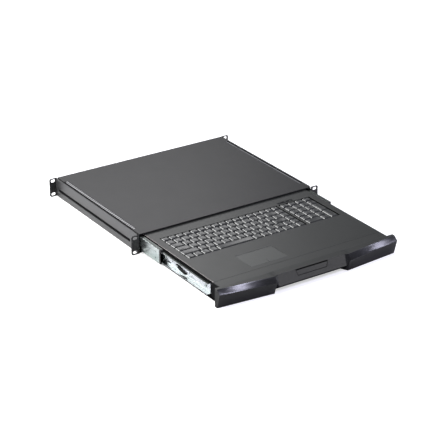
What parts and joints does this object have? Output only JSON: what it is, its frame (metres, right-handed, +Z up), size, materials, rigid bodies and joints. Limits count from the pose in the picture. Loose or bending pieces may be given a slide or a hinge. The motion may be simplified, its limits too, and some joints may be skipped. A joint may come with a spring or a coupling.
{
  "type": "rack console drawer with built-in kvm switch",
  "caption": "Flat rack-mount console drawer: keyboard, number pad and touchpad on a tray that slides out of a sheet-metal housing with rack ears and rear switch ports.",
  "frame": {"origin": "centre of the four front ear holes, on the rear face of the front ears", "axes": "+X to the right seen from the front, +Y to the rear of the rack, +Z up"},
  "size_m": [0.4826, 0.6753, 0.0438],
  "materials": {
    "housing_paint": "black powder coat, fine texture",
    "drawer_paint": "black powder coat, satin",
    "zinc_steel": "bright zinc plate",
    "ball_steel": "polished",
    "black_screw": "black zinc",
    "nickel_plate": "nickel plate",
    "port_plastic": "blue moulded plastic",
    "black_plastic": "moulded",
    "circuit_board": "solder resist",
    "chip_plastic": "moulded",
    "membrane_rubber": "matt",
    "touch_surface": "fine matt film",
    "window_plastic": "gloss",
    "lens_plastic": "clear light pipe",
    "key_plastic": "fine satin",
    "bezel_plastic": "satin to gloss, pearl black"
  },
  "bodies": {
    "housing": {"base_pan": "housing_paint", "lid": "housing_paint", "lid_screws": "black_screw", "rear_panel": "housing_paint", "catch_plate": "zinc_steel", "switch_board": "circuit_board", "switch_board_parts": "chip_plastic", "port_shields": "nickel_plate", "port_inserts": "port_plastic", "jack_screws": "nickel_plate", "usb_socket": "nickel_plate", "power_jack": "black_plastic", "outer_rivets": "zinc_steel", "rack_bracket_left": "housing_paint", "rack_bracket_right": "housing_paint", "slide_outer_left": "zinc_steel", "slide_outer_right": "zinc_steel"},
    "reset_button": {"reset_button": "black_plastic"},
    "middle_left": {"slide_middle_left": "zinc_steel", "middle_bumper_left": "black_plastic"},
    "middle_right": {"slide_middle_right": "zinc_steel", "middle_bumper_right": "black_plastic"},
    "outer_bearing_left": {"ball_cage_outer_left": "zinc_steel", "balls_outer_left": "ball_steel"},
    "outer_bearing_right": {"ball_cage_outer_right": "zinc_steel", "balls_outer_right": "ball_steel"},
    "inner_bearing_left": {"ball_cage_inner_left": "zinc_steel", "balls_inner_left": "ball_steel"},
    "inner_bearing_right": {"ball_cage_inner_right": "zinc_steel", "balls_inner_right": "ball_steel"},
    "drawer": {"slide_inner_left": "zinc_steel", "slide_inner_right": "zinc_steel", "inner_rivets": "zinc_steel", "lever_pins": "zinc_steel", "tray_pan": "drawer_paint", "top_plate": "drawer_paint", "touchpad": "touch_surface", "indicator_window": "window_plastic", "indicator_lenses": "lens_plastic", "keyboard_frame": "black_plastic", "membrane_sheet": "membrane_rubber", "keyboard_board": "circuit_board", "keyboard_board_parts": "chip_plastic", "front_bezel": "bezel_plastic", "latch_pin": "zinc_steel", "latch_spring": "zinc_steel", "bezel_screws": "black_screw"},
    "latch": {"latch_paddle": "bezel_plastic"},
    "release_lever_left": {"release_lever_left": "black_plastic"},
    "release_lever_right": {"release_lever_right": "black_plastic"},
    "touchpad_button_left": {"touchpad_button_left": "touch_surface"},
    "touchpad_button_right": {"touchpad_button_right": "touch_surface"},
    "function_row_keys": {"function_row_keys": "key_plastic"},
    "number_row_keys": {"number_row_keys": "key_plastic"},
    "upper_row_keys": {"upper_row_keys": "key_plastic"},
    "home_row_keys": {"home_row_keys": "key_plastic"},
    "lower_row_keys": {"lower_row_keys": "key_plastic"},
    "bottom_row_keys": {"bottom_row_keys": "key_plastic"},
    "space_bar": {"space_bar": "key_plastic"},
    "number_pad_keys": {"number_pad_keys": "key_plastic"}
  },
  "joints": [
    {"name": "middle_left_slide", "type": "slide", "parent": "housing", "child": "middle_left", "axis": [0, -1, 0], "range_m": [-0.083, 0.06]},
    {"name": "middle_right_slide", "type": "slide", "parent": "housing", "child": "middle_right", "axis": [0, -1, 0], "range_m": [-0.083, 0.06]},
    {"name": "drawer_slide", "type": "slide", "parent": "middle_left", "child": "drawer", "axis": [0, -1, 0], "range_m": [-0.2028, 0.01]},
    {"name": "outer_bearing_left_roll", "type": "slide", "parent": "housing", "child": "outer_bearing_left", "axis": [0, -1, 0], "range_m": [-0.0415, 0.03]},
    {"name": "outer_bearing_right_roll", "type": "slide", "parent": "housing", "child": "outer_bearing_right", "axis": [0, -1, 0], "range_m": [-0.0415, 0.03]},
    {"name": "inner_bearing_left_roll", "type": "slide", "parent": "middle_left", "child": "inner_bearing_left", "axis": [0, -1, 0], "range_m": [-0.1014, 0.005]},
    {"name": "inner_bearing_right_roll", "type": "slide", "parent": "middle_right", "child": "inner_bearing_right", "axis": [0, -1, 0], "range_m": [-0.1014, 0.005]},
    {"name": "latch_pull", "type": "hinge", "parent": "drawer", "child": "latch", "pos_m": [0, -0.30377, 0.00468], "axis": [1, 0, 0], "range_deg": [0, 15], "stiffness_Nm_per_rad": 0.3, "springref_deg": -9.74},
    {"name": "release_lever_left_swing", "type": "hinge", "parent": "drawer", "child": "release_lever_left", "pos_m": [-0.2105, -0.133, 0.0005], "axis": [-1, 0, 0], "range_deg": [0, 10], "stiffness_Nm_per_rad": 0.02, "springref_deg": -5.73},
    {"name": "touchpad_button_left_press", "type": "slide", "parent": "drawer", "child": "touchpad_button_left", "axis": [0, 0, -1], "range_m": [0, 0.0006], "stiffness_N_per_m": 800, "springref_m": -0.0005},
    {"name": "release_lever_right_swing", "type": "hinge", "parent": "drawer", "child": "release_lever_right", "pos_m": [0.2105, -0.133, 0.0005], "axis": [-1, 0, 0], "range_deg": [0, 10], "stiffness_Nm_per_rad": 0.02, "springref_deg": -5.73},
    {"name": "touchpad_button_right_press", "type": "slide", "parent": "drawer", "child": "touchpad_button_right", "axis": [0, 0, -1], "range_m": [0, 0.0006], "stiffness_N_per_m": 800, "springref_m": -0.0005},
    {"name": "function_row_keys_press", "type": "slide", "parent": "drawer", "child": "function_row_keys", "axis": [0, 0, -1], "range_m": [0, 0.002], "stiffness_N_per_m": 1500, "springref_m": -0.0005},
    {"name": "number_row_keys_press", "type": "slide", "parent": "drawer", "child": "number_row_keys", "axis": [0, 0, -1], "range_m": [0, 0.002], "stiffness_N_per_m": 1500, "springref_m": -0.0005},
    {"name": "upper_row_keys_press", "type": "slide", "parent": "drawer", "child": "upper_row_keys", "axis": [0, 0, -1], "range_m": [0, 0.002], "stiffness_N_per_m": 1500, "springref_m": -0.0005},
    {"name": "home_row_keys_press", "type": "slide", "parent": "drawer", "child": "home_row_keys", "axis": [0, 0, -1], "range_m": [0, 0.002], "stiffness_N_per_m": 1500, "springref_m": -0.0005},
    {"name": "lower_row_keys_press", "type": "slide", "parent": "drawer", "child": "lower_row_keys", "axis": [0, 0, -1], "range_m": [0, 0.002], "stiffness_N_per_m": 1500, "springref_m": -0.0005},
    {"name": "bottom_row_keys_press", "type": "slide", "parent": "drawer", "child": "bottom_row_keys", "axis": [0, 0, -1], "range_m": [0, 0.002], "stiffness_N_per_m": 1500, "springref_m": -0.0005},
    {"name": "space_bar_press", "type": "slide", "parent": "drawer", "child": "space_bar", "axis": [0, 0, -1], "range_m": [0, 0.002], "stiffness_N_per_m": 1500, "springref_m": -0.0005},
    {"name": "number_pad_keys_press", "type": "slide", "parent": "drawer", "child": "number_pad_keys", "axis": [0, 0, -1], "range_m": [0, 0.002], "stiffness_N_per_m": 1500, "springref_m": -0.0005},
    {"name": "reset_button_press", "type": "slide", "parent": "housing", "child": "reset_button", "axis": [0, -1, 0], "range_m": [0, 0.0008], "stiffness_N_per_m": 300, "springref_m": -0.001}
  ],
  "couplings": [
    {"joint": "middle_right_slide", "follows": "middle_left_slide", "ratio": 1},
    {"joint": "outer_bearing_left_roll", "follows": "middle_left_slide", "ratio": 0.5},
    {"joint": "outer_bearing_right_roll", "follows": "middle_left_slide", "ratio": 0.5},
    {"joint": "inner_bearing_left_roll", "follows": "drawer_slide", "ratio": 0.5},
    {"joint": "inner_bearing_right_roll", "follows": "drawer_slide", "ratio": 0.5}
  ]
}
